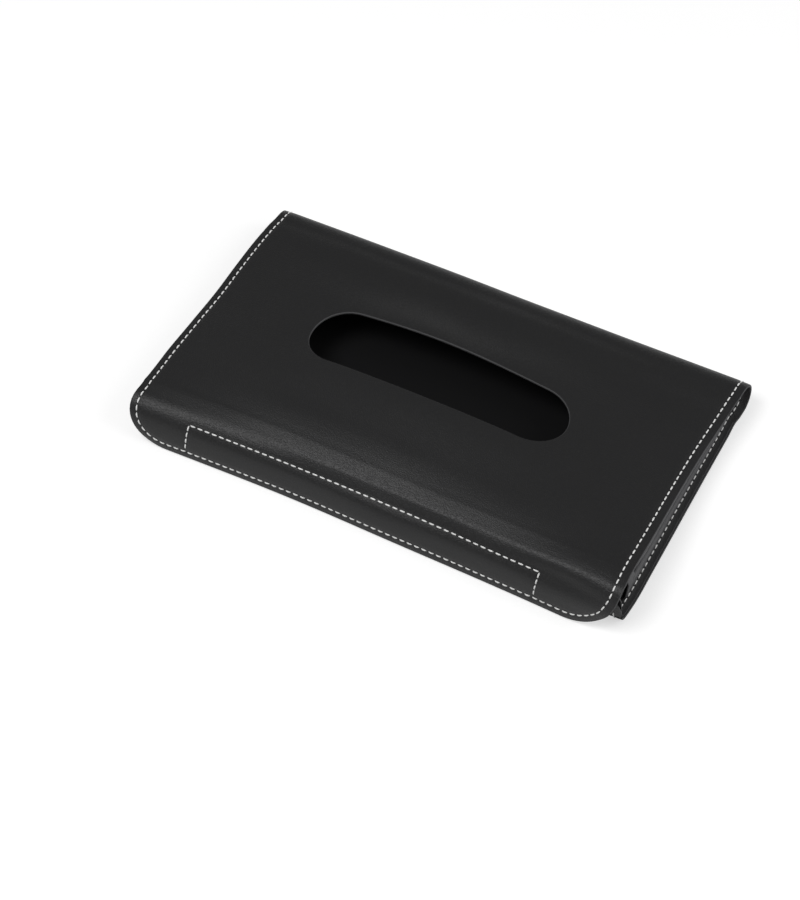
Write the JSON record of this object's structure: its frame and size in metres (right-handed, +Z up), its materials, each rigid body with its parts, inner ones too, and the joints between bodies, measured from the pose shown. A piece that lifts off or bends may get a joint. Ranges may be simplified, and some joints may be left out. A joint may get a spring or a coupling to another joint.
{
  "type": "car tissue holder",
  "caption": "Flat leather tissue holder with an oblong dispensing slot, a magnetic front flap, folded side gussets and elastic bands for a sun visor.",
  "frame": {"origin": "bottom centre of the closed holder, on the surface that it lies on", "axes": "+X to the right along the length, +Y to the rear fold, +Z up through the slot; the flap closes at -Y"},
  "size_m": [0.235, 0.13, 0.025],
  "materials": {
    "leather": "satin, fine pebble grain",
    "lining": "matte",
    "gusset": "matte",
    "elastic": "ribbed",
    "board": "matte",
    "foam": "matte",
    "magnet": "plated"
  },
  "bodies": {
    "base": {"bottom_panel": "leather", "base_board": "board", "base_lining": "lining", "lip_magnet_strip": "board", "lip_magnets": "magnet", "gusset_left": "gusset", "gusset_right": "gusset", "visor_band_left": "elastic", "visor_band_right": "elastic"},
    "cover": {"top_panel": "leather", "top_foam": "foam", "top_lining": "lining"},
    "flap": {"front_flap": "leather", "flap_lining": "lining", "flap_magnet_strip": "board", "flap_magnets": "magnet"}
  },
  "joints": [
    {"name": "cover_lift", "type": "hinge", "parent": "base", "child": "cover", "pos_m": [0, 0.065, 0.0095], "axis": [-1, 0, 0], "range_deg": [0, 6], "deforming": ["gusset_left", "gusset_right"]},
    {"name": "flap_open", "type": "hinge", "parent": "cover", "child": "flap", "pos_m": [0, -0.06121, 0.02175], "axis": [-1, 0, 0], "range_deg": [0, 170]}
  ]
}
